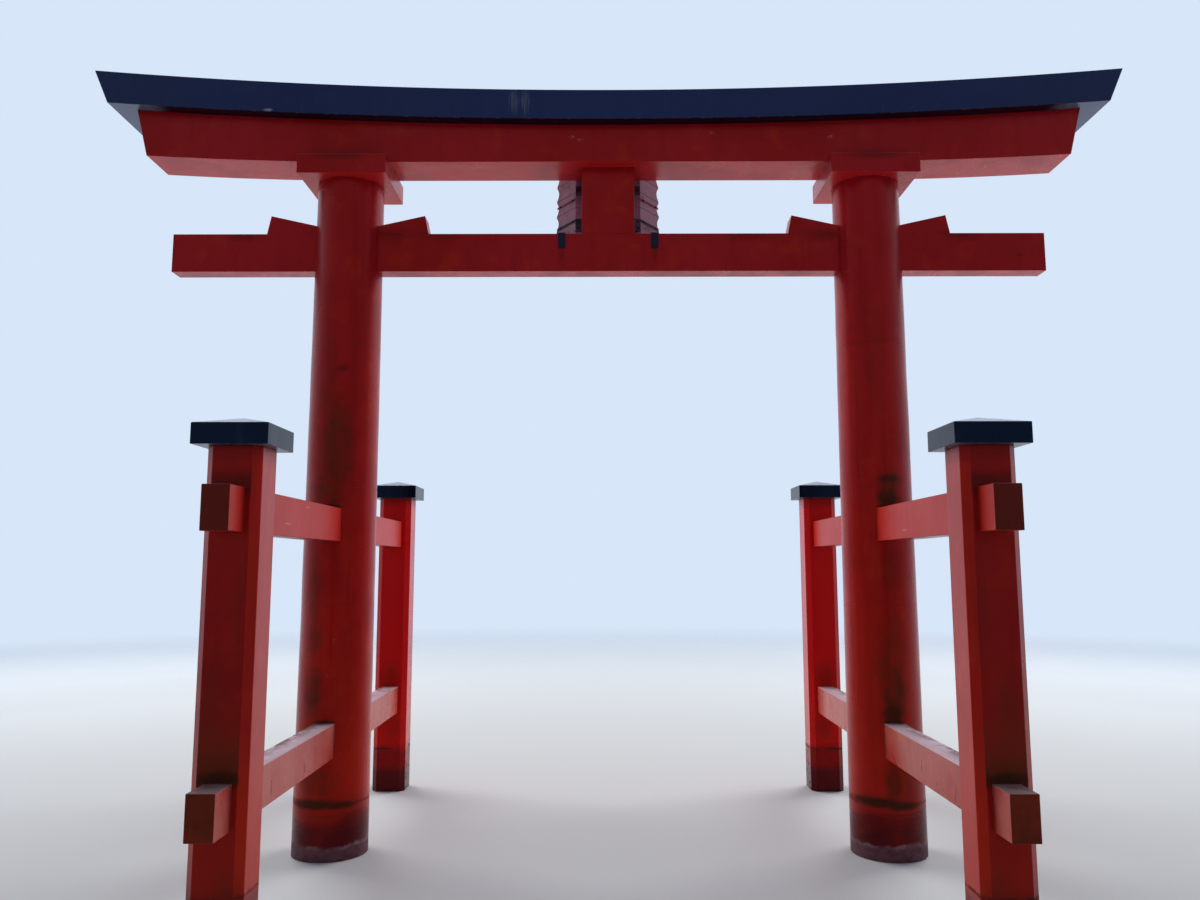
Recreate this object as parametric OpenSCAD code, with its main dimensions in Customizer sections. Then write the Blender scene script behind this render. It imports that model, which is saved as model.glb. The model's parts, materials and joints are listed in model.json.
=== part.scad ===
// Two-legged shrine gate with four bracing posts, a curved double lintel and a framed plaque.
// X runs along the gate, +Y is the side that the plaque faces, +Z is up.
// The origin is on the ground, midway between the two main pillars.

/* [Main pillars] */
// Distance between the two pillar axes
pillar_spacing = 6000; // [5000:50:7000]
// Pillar radius at the ground
pillar_base_r = 400; // [340:5:460]
// Pillar radius under the capital block
pillar_top_r = 374; // [320:2:400]
// Height of the pillar, from the ground to the capital block
pillar_h = 7422; // [6900:10:7800]

/* [Capital blocks] */
// Side of the capital block along the gate
capital_w = 996; // [860:4:1100]
// Side of the capital block across the gate
capital_d = 960; // [840:4:1100]
// How far the lower lintel is let into the capital block
capital_seat = 9; // [9:1:20]

/* [Lintels] */
// Underside of the lower lintel at midspan
lintel_z = 7637; // [7600:1:7700]
// Thickness of the lower lintel across the gate
lower_lintel_d = 548; // [440:4:640]
// Height of the lower lintel at midspan
lower_lintel_h = 446; // [400:2:520]
// Half length of the straight middle of the lower lintel's underside
straight_half = 2600; // [2400:50:2800]
// Half length of the lower lintel at its underside
lower_half_bottom = 5298; // [5100:10:5500]
// Half length of the lower lintel at its top
lower_half_top = 5438; // [5310:10:5600]
// Thickness of the upper lintel across the gate
upper_lintel_d = 820; // [680:10:920]
// Height of the upper lintel's long faces at midspan
upper_lintel_h = 349; // [300:1:400]
// Half length of the upper lintel at its underside
upper_half_bottom = 5714; // [5600:10:5800]
// Half length of the upper lintel at its top edge
upper_half_top = 5880; // [5810:10:6000]
// Rise of the ridge over the upper lintel's long edges
ridge_rise = 100; // [60:5:140]
// Rise of the lower lintel's underside at its tips
underside_lift = 82; // [60:1:100]
// Rise of the joint between the two lintels at the upper lintel's tips
joint_lift = 209; // [180:1:230]
// Rise of the upper lintel's top edge at its tips
top_lift = 249; // [220:1:280]

/* [Tie beam] */
// Underside of the tie beam
tie_z = 6394; // [6200:2:6500]
// Height of the tie beam
tie_h = 446; // [380:2:500]
// Thickness of the tie beam across the gate
tie_d = 225; // [180:5:280]
// Length of the tie beam
tie_l = 10020; // [9400:20:10400]
// Height of a wedge at its outer end
wedge_h = 215; // [160:5:260]
// Outer end of a wedge's top edge, from the pillar axis
wedge_top_x = 887; // [800:1:920]
// Outer end of a wedge's foot, from the pillar axis
wedge_foot_x = 931; // [925:1:960]
// How far a wedge's top edge falls for each unit towards the pillar
wedge_slope = 0.225; // [0.1:0.005:0.24]
// Inner end of a wedge inside the pillar, from the pillar axis
wedge_inner_x = 250; // [200:10:320]
// Width of the centre strut
strut_w = 606; // [500:2:700]

/* [Bracing posts] */
// Distance from the pillar axis to a post axis
post_y = 2928; // [2600:4:3100]
// Side of a square post
post_w = 443; // [380:1:500]
// Width of the flat cut off each corner of a post
post_chamfer = 66; // [30:2:90]
// Height of a post under its cap
post_h = 3996; // [3900:4:4300]
// Side of a post cap
cap_w = 615; // [560:5:700]
// Height of a cap's upright sides
cap_h = 172; // [120:2:220]
// Rise of a cap's low pyramid
cap_rise = 78; // [40:2:120]

/* [Side beams] */
// Width of a side beam
beam_w = 220; // [160:5:260]
// Length of a side beam
beam_l = 6886; // [6700:2:7100]
// Underside of the upper side beams
upper_beam_z = 3306; // [3000:2:3400]
// Height of an upper side beam
upper_beam_h = 357; // [300:1:420]
// Underside of the lower side beams
lower_beam_z = 1043; // [800:1:1300]
// Height of a lower side beam
lower_beam_h = 351; // [300:1:420]

/* [Plaque] */
// Width of the bare board
board_w = 770; // [700:10:840]
// Height of the bare board
board_h = 1000; // [900:10:1060]
// Thickness of the bare board
board_t = 30; // [20:2:40]
// How far the frame flares out to each side
flare_out = 235; // [220:5:270]
// How far the frame flares to the front over that width
flare_front = 220; // [180:1:250]
// Thickness of a frame board, level across its edge
flare_t = 45; // [35:1:60]
// Depth of the hollows cut in the frame's outer edge
hollow_depth = 24; // [10:1:34]
// Lean of the plaque to the front, in degrees
plaque_lean = 12; // [12:0.5:14]
// Lower edge of the bare board's back, above the ground
board_z = 6900; // [6880:2:6930]
// Lower edge of the bare board's back, in front of the gate's middle plane
board_y = 142; // [140:2:160]
// Width of the flat steel straps under the plaque
strap_w = 88; // [60:2:110]
// Thickness of the straps
strap_t = 9; // [6:1:12]
// Distance from the gate's middle to a strap
strap_x = 534; // [520:2:540]
// How far a strap hangs down the back of the tie beam
strap_drop = 175; // [120:5:240]

/* [Hidden] */

vermilion = "#b3241c";
lintel_black = "#1c2230";
plaque_red = "#a8706c";
iron_black = "#141518";

// Number of sides on round pieces
round_fn = 96;
// Number of straight steps in each half of a lintel's curve
curve_steps = 16;
// Room past a face, so that a cut goes clean through
over = 50;

joint_z = lintel_z + lower_lintel_h;
edge_z = joint_z + upper_lintel_h;
tie_top_z = tie_z + tie_h;
pillar_x = pillar_spacing / 2;

// Radius of the circle that rises by lift over a half chord
function rise_radius(half, lift) = (half * half + lift * lift) / (2 * lift);

// Height gained at x by a curve that gains lift at half
function rise_at(x, half, lift) = lift * pow(x / half, 2);

// Slope of the upper lintel's two roof faces
roof_angle = atan(ridge_rise / (upper_lintel_d / 2));

// Stands a flat outline, drawn in X and Z, across the gate with its middle at Y = 0
module across_gate(depth) {
    rotate([90, 0, 0]) linear_extrude(depth, center = true) children();
}

// Everything above a curve that starts level at z in the middle of the gate and gains lift at half
module above_curve(z, half, lift) {
    reach = upper_half_top + over;
    top = z + 2 * upper_lintel_d;
    curve = [for (i = [-curve_steps : curve_steps])
        [reach * i / curve_steps, z + rise_at(reach * i / curve_steps, half, lift)]];
    polygon(concat(curve, [[reach, top], [-reach, top]]));
}

// Outline of the lower lintel: level in the middle, rising to the tips
module lower_lintel_outline() {
    run = lower_half_bottom - straight_half;
    tip_z = joint_z + rise_at(lower_half_top, upper_half_bottom, joint_lift);
    right = [for (i = [0 : curve_steps])
        [straight_half + run * i / curve_steps, lintel_z + rise_at(i, curve_steps, underside_lift)]];
    left = [for (i = [curve_steps : -1 : 0]) [-right[i].x, right[i].y]];
    difference() {
        polygon(concat(left, right, [[lower_half_top, tip_z], [-lower_half_top, tip_z]]));
        above_curve(joint_z, upper_half_bottom, joint_lift);
    }
}

module lower_lintel() {
    color(vermilion) across_gate(lower_lintel_d) lower_lintel_outline();
}

// Solid above one roof face of the upper lintel; side is -1 for the back and 1 for the front
module above_roof(side) {
    translate([0, 0, edge_z + ridge_rise])
        rotate([90 - side * roof_angle, 0, 0])
            linear_extrude(2 * upper_lintel_d, center = true)
                above_curve(0, upper_half_top, top_lift * cos(roof_angle));
}

// Upper lintel: slanted ends, rising to the tips, with a low ridge along its top
module upper_lintel() {
    tip_z = edge_z + top_lift;
    slant = (upper_half_top - upper_half_bottom) / (tip_z - joint_z - joint_lift);
    ridge_half = upper_half_top + slant * ridge_rise;
    color(lintel_black) difference() {
        across_gate(upper_lintel_d) intersection() {
            polygon([[-upper_half_bottom, joint_z + joint_lift], [-upper_half_bottom, joint_z],
                [upper_half_bottom, joint_z], [upper_half_bottom, joint_z + joint_lift],
                [ridge_half, tip_z + ridge_rise], [-ridge_half, tip_z + ridge_rise]]);
            above_curve(joint_z, upper_half_bottom, joint_lift);
        }
        above_roof(-1);
        above_roof(1);
    }
}

module tie_beam() {
    color(vermilion) translate([-tie_l / 2, -tie_d / 2, tie_z]) cube([tie_l, tie_d, tie_h]);
}

// Wedge that lies on the tie beam and enters the pillar; side is -1 or 1 along X
module wedge(pillar, side) {
    inner_h = wedge_h - wedge_slope * (wedge_top_x - wedge_inner_x);
    color(vermilion) translate([pillar * pillar_x, 0, tie_top_z]) across_gate(tie_d)
        polygon([[side * wedge_inner_x, 0], [side * wedge_foot_x, 0],
            [side * wedge_top_x, wedge_h], [side * wedge_inner_x, inner_h]]);
}

// Side beam through a pillar and its two posts
module side_beam(pillar, z, h) {
    color(vermilion)
        translate([pillar * pillar_x - beam_w / 2, -beam_l / 2, z]) cube([beam_w, beam_l, h]);
}

module side_beams(pillar) {
    side_beam(pillar, upper_beam_z, upper_beam_h);
    side_beam(pillar, lower_beam_z, lower_beam_h);
}

// Tapering round pillar with the holes that its beams and wedges fill
module pillar(side) {
    color(vermilion) difference() {
        translate([side * pillar_x, 0, 0])
            cylinder(h = pillar_h, r1 = pillar_base_r, r2 = pillar_top_r, $fn = round_fn);
        tie_beam();
        wedge(side, -1);
        wedge(side, 1);
        side_beams(side);
    }
}

// Square block on the pillar, with a shallow seat for the lower lintel
module capital(side) {
    color(vermilion) difference() {
        translate([side * pillar_x - capital_w / 2, -capital_d / 2, pillar_h])
            cube([capital_w, capital_d, lintel_z + capital_seat - pillar_h]);
        lower_lintel();
    }
}

module centre_strut() {
    color(vermilion) translate([-strut_w / 2, -tie_d / 2, tie_top_z])
        cube([strut_w, tie_d, lintel_z - tie_top_z]);
}

// Square post with flat corners, pierced for the two side beams
module post(side, front) {
    half = post_w / 2;
    flat_half = half - post_chamfer;
    color(vermilion) difference() {
        translate([side * pillar_x, front * post_y, 0]) linear_extrude(post_h)
            polygon([[half, -flat_half], [half, flat_half], [flat_half, half], [-flat_half, half],
                [-half, flat_half], [-half, -flat_half], [-flat_half, -half], [flat_half, -half]]);
        side_beams(side);
    }
}

// Gable-shaped bar, as wide and as long as a post cap
module cap_gable() {
    half = cap_w / 2;
    across_gate(cap_w) polygon([[-half, 0], [half, 0], [half, cap_h], [0, cap_h + cap_rise], [-half, cap_h]]);
}

// Square cap with a low pyramid, where two crossing gables meet
module post_cap(side, front) {
    color(lintel_black) translate([side * pillar_x, front * post_y, post_h]) intersection() {
        cap_gable();
        rotate([0, 0, 90]) cap_gable();
    }
}

// Places what is drawn from the lower edge of the bare board's back, leaning to the front
module on_plaque() {
    translate([0, board_y, board_z]) rotate([-plaque_lean, 0, 0]) children();
}

// Outline of the whole frame from the front, with hollows along its four edges
module frame_outline() {
    w = board_w + 2 * flare_out;
    h = board_h + 2 * flare_out;
    side_count = 7;
    top_count = 6;
    flat = 14;
    difference() {
        translate([-w / 2, -flare_out]) square([w, h]);
        for (i = [0 : side_count - 1], side = [-1, 1]) {
            pitch = h / side_count;
            r = rise_radius(pitch / 2 - flat, hollow_depth);
            translate([side * (w / 2 + r - hollow_depth), (i + 0.5) * pitch - flare_out])
                circle(r, $fn = round_fn);
        }
        for (i = [0 : top_count - 1], end = [-1, 1]) {
            pitch = w / top_count;
            r = rise_radius(pitch / 2 - flat, hollow_depth);
            translate([(i + 0.5) * pitch - w / 2, board_h / 2 + end * (h / 2 + r - hollow_depth)])
                circle(r, $fn = round_fn);
        }
    }
}

// One flared frame board along the edge of a panel that is half wide and long high.
// It is drawn for the edge at +X, with its two ends cut to the mitres.
module flare_board(half, long) {
    intersection() {
        linear_extrude(long + 2 * flare_out + 2 * over, center = true)
            polygon([[half - flare_t, 0], [half, 0],
                [half + flare_out, flare_front], [half + flare_out - flare_t, flare_front]]);
        across_gate(4 * flare_front)
            polygon([[half - flare_t, flare_t - long / 2], [half + flare_out, -long / 2 - flare_out],
                [half + flare_out, long / 2 + flare_out], [half - flare_t, long / 2 - flare_t]]);
    }
}

// Trims a frame board to the frame's wavy outline
module plaque_frame_piece() {
    color(plaque_red) on_plaque() intersection() {
        children();
        across_gate(4 * flare_front) frame_outline();
    }
}

// Left or right frame board
module plaque_side(side) {
    plaque_frame_piece() translate([0, 0, board_h / 2])
        mirror([side < 0 ? 1 : 0, 0, 0]) flare_board(board_w / 2, board_h);
}

// Top or bottom frame board; end is 1 at the top and -1 at the bottom
module plaque_end(end) {
    plaque_frame_piece() translate([0, 0, board_h / 2])
        mirror([0, 0, end < 0 ? 1 : 0]) rotate([0, -90, 0]) flare_board(board_h / 2, board_w);
}

module plaque_frame() {
    plaque_side(-1);
    plaque_side(1);
    plaque_end(-1);
    plaque_end(1);
}

// Everything in front of the frame boards' slanted backs
module plaque_front_space() {
    half = board_w / 2;
    reach = half + flare_out;
    on_plaque() translate([0, 0, board_h / 2]) linear_extrude(2 * board_h, center = true)
        polygon([[-half, 0], [half, 0], [reach, flare_front], [reach, board_h],
            [-reach, board_h], [-reach, flare_front]]);
}

// Bare board that fills the frame
module plaque_board() {
    color(plaque_red) difference() {
        on_plaque() translate([-board_w / 2, 0, 0]) cube([board_w, board_t, board_h]);
        plaque_frame();
    }
}

// Flat batten across the board's back, from its low edge up
module batten(low, h) {
    batten_t = 14;
    color(iron_black) on_plaque()
        translate([-board_w / 2, -batten_t, low]) cube([board_w, batten_t, h]);
}

// Strap hooked over the tie beam and run out to the frame's lower corner
module strap(side) {
    reach = board_y + flare_front;
    color(iron_black) difference() {
        translate([side * strap_x - strap_w / 2, -tie_d / 2 - strap_t, tie_top_z - strap_drop]) difference() {
            cube([strap_w, reach + tie_d / 2, strap_drop + strap_t]);
            translate([-over, strap_t, -over]) cube([strap_w + 2 * over, reach + tie_d, strap_drop + over]);
        }
        plaque_front_space();
    }
}

// Short stay between the lower lintel's front face and the board's back, with a foot plate
module stay(side) {
    stay_x = 250;
    stay_z = 7850;
    bar_w = 60;
    bar_t = 12;
    foot = 120;
    reach = 100;
    color(iron_black) translate([side * stay_x, lower_lintel_d / 2, stay_z]) {
        translate([-foot / 2, 0, -foot / 2]) cube([foot, bar_t, foot]);
    }
    color(iron_black) difference() {
        translate([side * stay_x - bar_w / 2, lower_lintel_d / 2 + bar_t, stay_z - bar_t / 2])
            cube([bar_w, reach, bar_t]);
        on_plaque() translate([-board_w / 2, 0, 0]) cube([board_w, 2 * reach, board_h]);
    }
}

pillar(-1);  // left_pillar
pillar(1);  // right_pillar
capital(-1);  // left_capital
capital(1);  // right_capital
lower_lintel();
upper_lintel();
tie_beam();
wedge(-1, -1);  // left_outer_wedge
wedge(-1, 1);  // left_inner_wedge
wedge(1, -1);  // right_inner_wedge
wedge(1, 1);  // right_outer_wedge
centre_strut();
plaque_board();
plaque_side(-1);  // plaque_left_side
plaque_side(1);  // plaque_right_side
plaque_end(1);  // plaque_top
plaque_end(-1);  // plaque_bottom
batten(560, 120);  // plaque_upper_batten
batten(60, 170);  // plaque_lower_batten
strap(-1);  // left_strap
strap(1);  // right_strap
stay(-1);  // left_stay
stay(1);  // right_stay
post(-1, -1);  // left_back_post
post(-1, 1);  // left_front_post
post(1, -1);  // right_back_post
post(1, 1);  // right_front_post
post_cap(-1, -1);  // left_back_cap
post_cap(-1, 1);  // left_front_cap
post_cap(1, -1);  // right_back_cap
post_cap(1, 1);  // right_front_cap
side_beam(-1, upper_beam_z, upper_beam_h);  // left_upper_beam
side_beam(-1, lower_beam_z, lower_beam_h);  // left_lower_beam
side_beam(1, upper_beam_z, upper_beam_h);  // right_upper_beam
side_beam(1, lower_beam_z, lower_beam_h);  // right_lower_beam
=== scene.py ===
"""A torii gate: painted concrete pillars, lintels, tie beam and bracing posts, with a boarded plaque."""

import json
import math

import bpy
from mathutils import Matrix, Vector

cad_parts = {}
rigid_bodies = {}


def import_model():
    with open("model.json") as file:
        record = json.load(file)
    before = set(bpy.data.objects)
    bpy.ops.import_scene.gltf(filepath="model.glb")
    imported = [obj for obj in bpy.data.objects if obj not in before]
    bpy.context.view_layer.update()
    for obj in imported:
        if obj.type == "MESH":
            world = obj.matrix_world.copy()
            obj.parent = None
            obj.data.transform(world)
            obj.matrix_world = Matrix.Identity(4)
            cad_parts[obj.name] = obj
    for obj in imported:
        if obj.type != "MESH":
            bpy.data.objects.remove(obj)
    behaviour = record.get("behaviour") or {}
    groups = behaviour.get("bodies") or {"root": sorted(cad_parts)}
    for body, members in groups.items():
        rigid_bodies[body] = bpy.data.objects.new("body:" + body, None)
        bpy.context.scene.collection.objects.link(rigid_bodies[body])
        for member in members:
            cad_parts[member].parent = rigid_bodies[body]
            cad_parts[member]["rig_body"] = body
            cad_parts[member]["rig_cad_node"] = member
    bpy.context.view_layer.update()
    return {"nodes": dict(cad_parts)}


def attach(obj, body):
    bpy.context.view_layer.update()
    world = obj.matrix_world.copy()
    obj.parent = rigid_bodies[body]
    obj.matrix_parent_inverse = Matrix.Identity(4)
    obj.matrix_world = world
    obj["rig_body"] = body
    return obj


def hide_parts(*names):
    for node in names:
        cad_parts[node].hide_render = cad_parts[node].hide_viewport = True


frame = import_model()
bpy.context.scene.view_settings.view_transform = "Standard"

# Camera at the photograph's place and angle: eye height 3 m above the gate's feet, tipped up 7 degrees.
# The view is 1200 by 900, and the lens is 939 of its pixels long.
eye = (-0.064, -10.5325, 3.0374)
tip_up, roll, turn_left = 7.068, 0.035, 0.177
view_width = 1200
lens_pixels = 939.2
camera_data = bpy.data.cameras.new("camera")
camera_data.sensor_width = 36
camera_data.lens = lens_pixels / view_width * camera_data.sensor_width
camera_data.clip_end = 500
camera = bpy.data.objects.new("camera", camera_data)
camera.location = eye
camera.rotation_euler = (math.radians(90 + tip_up), math.radians(roll), math.radians(turn_left))
bpy.context.scene.collection.objects.link(camera)
bpy.context.scene.camera = camera

# Stage: a wide pale floor at the gate's feet, which fades into a pale, faintly blue sky of even light.
# Broad soft lamps stand high behind the gate, to the left and right, and a weak one faces the near side.
# Only the weaker of each pair shows in glossy paint, so that the highlights stay soft.
pale_sky = (0.68, 0.79, 0.94)
sky_glow = 0.28
world = bpy.data.worlds.new("sky")
bpy.context.scene.world = world
world.use_nodes = True
sky_nodes = world.node_tree.nodes
sky_links = world.node_tree.links
sky_nodes.clear()
sky_out = sky_nodes.new("ShaderNodeOutputWorld")
sky_mix = sky_nodes.new("ShaderNodeMixShader")
sky_light = sky_nodes.new("ShaderNodeBackground")
sky_light.inputs["Color"].default_value = (*pale_sky, 1)
sky_light.inputs["Strength"].default_value = sky_glow
sky_seen = sky_nodes.new("ShaderNodeBackground")
sky_seen.inputs["Color"].default_value = (*pale_sky, 1)
sky_seen.inputs["Strength"].default_value = 1.0
sky_ray = sky_nodes.new("ShaderNodeLightPath")
sky_mirrored = sky_nodes.new("ShaderNodeMath")
sky_mirrored.operation = "MAXIMUM"
sky_shown = sky_nodes.new("ShaderNodeMath")
sky_shown.operation = "MAXIMUM"
sky_links.new(sky_ray.outputs["Is Camera Ray"], sky_mirrored.inputs[0])
sky_links.new(sky_ray.outputs["Is Glossy Ray"], sky_mirrored.inputs[1])
sky_links.new(sky_mirrored.outputs[0], sky_shown.inputs[0])
sky_links.new(sky_ray.outputs["Is Transmission Ray"], sky_shown.inputs[1])
sky_links.new(sky_shown.outputs[0], sky_mix.inputs[0])
sky_links.new(sky_light.outputs[0], sky_mix.inputs[1])
sky_links.new(sky_seen.outputs[0], sky_mix.inputs[2])
sky_links.new(sky_mix.outputs[0], sky_out.inputs["Surface"])

floor_side = 120
floor_gap = 0.002
fade_start, fade_end = 6, 40
bpy.ops.object.select_all(action="DESELECT")
bpy.ops.mesh.primitive_plane_add(size=floor_side, location=(0, 0, -floor_gap))
floor = bpy.context.object
floor.name = "floor"
floor_paint = bpy.data.materials.new("floor_paint")
floor_paint.use_nodes = True
floor_nodes = floor_paint.node_tree.nodes
floor_links = floor_paint.node_tree.links
floor_shader = floor_nodes["Principled BSDF"]
floor_shader.inputs["Base Color"].default_value = (0.74, 0.76, 0.78, 1)
floor_shader.inputs["Roughness"].default_value = 0.8
floor_shader.inputs["Specular IOR Level"].default_value = 0.1
floor_place = floor_nodes.new("ShaderNodeTexCoord")
floor_reach = floor_nodes.new("ShaderNodeVectorMath")
floor_reach.operation = "LENGTH"
floor_fade = floor_nodes.new("ShaderNodeMapRange")
floor_fade.interpolation_type = "SMOOTHSTEP"
floor_fade.inputs["From Min"].default_value = fade_start
floor_fade.inputs["From Max"].default_value = fade_end
floor_clear = floor_nodes.new("ShaderNodeBsdfTransparent")
floor_mix = floor_nodes.new("ShaderNodeMixShader")
floor_links.new(floor_place.outputs["Object"], floor_reach.inputs[0])
floor_links.new(floor_reach.outputs["Value"], floor_fade.inputs["Value"])
floor_links.new(floor_fade.outputs["Result"], floor_mix.inputs[0])
floor_links.new(floor_shader.outputs[0], floor_mix.inputs[1])
floor_links.new(floor_clear.outputs[0], floor_mix.inputs[2])
floor_links.new(floor_mix.outputs[0], floor_nodes["Material Output"].inputs["Surface"])
floor.data.materials.append(floor_paint)


def soft_lamp(name, place, aim, size, power, colour, mirrored):
    """Square area lamp at place, turned to face aim; paint mirrors it or not."""
    lamp_data = bpy.data.lights.new(name, "AREA")
    lamp_data.size = size
    lamp_data.energy = power
    lamp_data.color = colour
    lamp = bpy.data.objects.new(name, lamp_data)
    lamp.location = place
    lamp.rotation_euler = (Vector(aim) - Vector(place)).to_track_quat("-Z", "Y").to_euler()
    bpy.context.scene.collection.objects.link(lamp)
    lamp.visible_glossy = mirrored


sides = ((-1, "left"), (1, "right"))
lamp_off = 17
lamp_size = 18
warm_white, cool_white = (1, 0.98, 0.95), (0.95, 0.98, 1)
for side, word in sides:
    lamp_place = (side * lamp_off, lamp_off, lamp_off)
    soft_lamp(word + "_lamp", lamp_place, (0, 0, 3), lamp_size, 3600, warm_white, False)
    soft_lamp(word + "_sheen_lamp", lamp_place, (0, 0, 3), lamp_size, 1600, warm_white, True)
soft_lamp("front_lamp", (0, -24, 14), (0, 0, 4), 16, 120, cool_white, True)


# Pillars: two tapering round shafts of reinforced concrete, poured in lifts of about 1.5 m and floated.
# They carry thick vermilion paint, which damp has stained round the feet and above the beams.
# At the foot the paint has worn off the bare concrete.
pillar_x = 3.0
pillar_top = 7.422
pillar_foot_radius = 0.400
pillar_neck_radius = 0.374
pillar_near = -0.385
pillar_rings = 90
lift_joints = (2.63, 3.90, 5.50)
joint_half = 0.005
joint_neck = 0.991
unevenness = 0.006
red_gloss = (1.0, 0.14, 0.10)


def shade(red, green, blue):
    """Colour from its three screen values, 0 to 255."""
    light = [c / 255 / 12.92 if c < 11 else ((c / 255 + 0.055) / 1.055) ** 2.4 for c in (red, green, blue)]
    return (*light, 1)


class Coat:
    """A surface built up in layers, each with its own colour, roughness and height in millimetres."""

    def __init__(self, name, colour, roughness, turn=(0, 0, 0), centre=(0, 0, 0)):
        self.material = bpy.data.materials.new(name)
        self.material.use_nodes = True
        self.tree = self.material.node_tree
        self.place = self.put("ShaderNodeTexCoord").outputs["Object"]
        if any(turn) or any(centre):
            moved = self.put("ShaderNodeVectorMath", self.place, centre, operation="SUBTRACT").outputs[0]
            self.place = self.put("ShaderNodeMapping", moved, None, turn).outputs[0]
        self.rag = self.put("ShaderNodeTexNoise", self.place, None, 7.0, 6.0, 0.62).outputs[0]
        self.slow = self.put("ShaderNodeTexNoise", self.place, None, 1.6, 2.0, 0.4).outputs[0]
        self.normal = self.put("ShaderNodeSeparateXYZ", self.put("ShaderNodeNewGeometry").outputs["Normal"])
        self.colour, self.roughness, self.height = colour, roughness, None

    def put(self, kind, *sockets, **settings):
        """Adds a node and fills its sockets in order, each with a value or with another node's output."""
        node = self.tree.nodes.new(kind)
        for setting, value in settings.items():
            setattr(node, setting, value)
        for socket, value in zip(node.inputs, sockets):
            if isinstance(value, bpy.types.NodeSocket):
                self.tree.links.new(value, socket)
            elif value is not None:
                socket.default_value = value
        return node

    def sum(self, operation, *values):
        """One arithmetic step on masks or numbers."""
        return self.put("ShaderNodeMath", *values, operation=operation).outputs[0]

    def ramp(self, value, low, high, bottom=0.0, top=1.0):
        """Runs smoothly from bottom to top as value goes from low to high."""
        limits = (value, low, high, bottom, top)
        return self.put("ShaderNodeMapRange", *limits, interpolation_type="SMOOTHSTEP").outputs[0]

    def cloud(self, size, low, high, stretch=(1, 1, 1), detail=4.0, shift=0.0):
        """Patches about size metres across, drawn out where stretch is small."""
        moved = self.place
        if stretch != (1, 1, 1) or shift:
            moved = self.put("ShaderNodeMapping", moved, (shift, shift, shift), None, stretch).outputs[0]
        noise = self.put("ShaderNodeTexNoise", moved, None, 1 / size, detail, 0.58)
        return self.ramp(noise.outputs[0], low, high)

    def patch(self, centre, reach, soft=0.6, ragged=0.9):
        """One patch with a ragged edge, fading out at reach from centre."""
        moved = [-c / r for c, r in zip(centre, reach)]
        scaled = [1 / r for r in reach]
        near = self.put("ShaderNodeMapping", self.place, moved, None, scaled).outputs[0]
        away = self.put("ShaderNodeVectorMath", near, operation="LENGTH").outputs["Value"]
        rough_away = self.sum("MULTIPLY_ADD", self.rag, -ragged, away)
        return self.ramp(rough_away, 1 - ragged / 2, 1 - ragged / 2 - soft)

    def band(self, axis, low, high, soft, wave=0.0, sway=0.0):
        """Everything between two heights on an axis, with a border that waves finely and sways slowly."""
        waved = self.put("ShaderNodeSeparateXYZ", self.place).outputs[axis]
        for noise, amount in ((self.rag, wave), (self.slow, sway)):
            if amount:
                waved = self.sum("MULTIPLY_ADD", noise, amount, waved)
        off = (wave + sway) / 2
        above = self.ramp(waved, low + off - soft, low + off + soft)
        below = self.ramp(waved, high + off + soft, high + off - soft)
        return self.sum("MULTIPLY", above, below)

    def facing(self, axis, low=0.55, high=0.95):
        """Faces that look along an axis, such as "Z", or against it, such as "-Z"."""
        if axis[0] == "-":
            low, high = -low, -high
        return self.ramp(self.normal.outputs[axis[-1]], low, high)

    def upright(self):
        """Faces that stand upright, where rain runs down."""
        return self.ramp(self.sum("ABSOLUTE", self.normal.outputs["Z"]), 0.3, 0.7, 1.0, 0.0)

    def arris(self):
        """The rounded arrises, marked when they were bevelled."""
        return self.put("ShaderNodeAttribute", attribute_name="arris").outputs["Fac"]

    def both(self, first, *others):
        """The mask where every one given is full."""
        for other in others:
            first = self.sum("MULTIPLY", first, other)
        return first

    def either(self, first, *others):
        """The mask where any one given is full."""
        for other in others:
            first = self.sum("MAXIMUM", first, other)
        return first

    def layer(self, mask, colour, roughness=None, amount=1.0, height=0.0):
        """Lays colour, roughness and height over what is there, where the mask is full."""
        if amount != 1:
            mask = self.sum("MULTIPLY", mask, amount)
        mix = self.put("ShaderNodeMix", mask, data_type="RGBA")
        for socket, value in ((mix.inputs[6], self.colour), (mix.inputs[7], colour)):
            if isinstance(value, bpy.types.NodeSocket):
                self.tree.links.new(value, socket)
            else:
                socket.default_value = value
        self.colour = mix.outputs[2]
        if roughness is not None:
            self.roughness = self.put("ShaderNodeMix", mask, None, self.roughness, roughness).outputs[0]
        if height:
            self.rise(mask, height)

    def rise(self, mask, height):
        """Raises the surface by height millimetres where the mask is full, or sinks it."""
        low = 0.0 if self.height is None else self.height
        self.height = self.sum("MULTIPLY_ADD", mask, height, low)

    def finish(self, gloss=0.5, tint=(1, 1, 1)):
        """Wires the layers to the shader; what the gloss mirrors head on takes the tint."""
        shader = self.tree.nodes["Principled BSDF"]
        shader.inputs["Specular IOR Level"].default_value = gloss
        shader.inputs["Specular Tint"].default_value = (*tint, 1)
        bump = self.put("ShaderNodeBump", 1.0, 0.001)
        self.tree.links.new(self.height, bump.inputs["Height"])
        self.tree.links.new(bump.outputs[0], shader.inputs["Normal"])
        self.tree.links.new(self.colour, shader.inputs["Base Color"])
        self.tree.links.new(self.roughness, shader.inputs["Roughness"])
        return self.material


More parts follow.
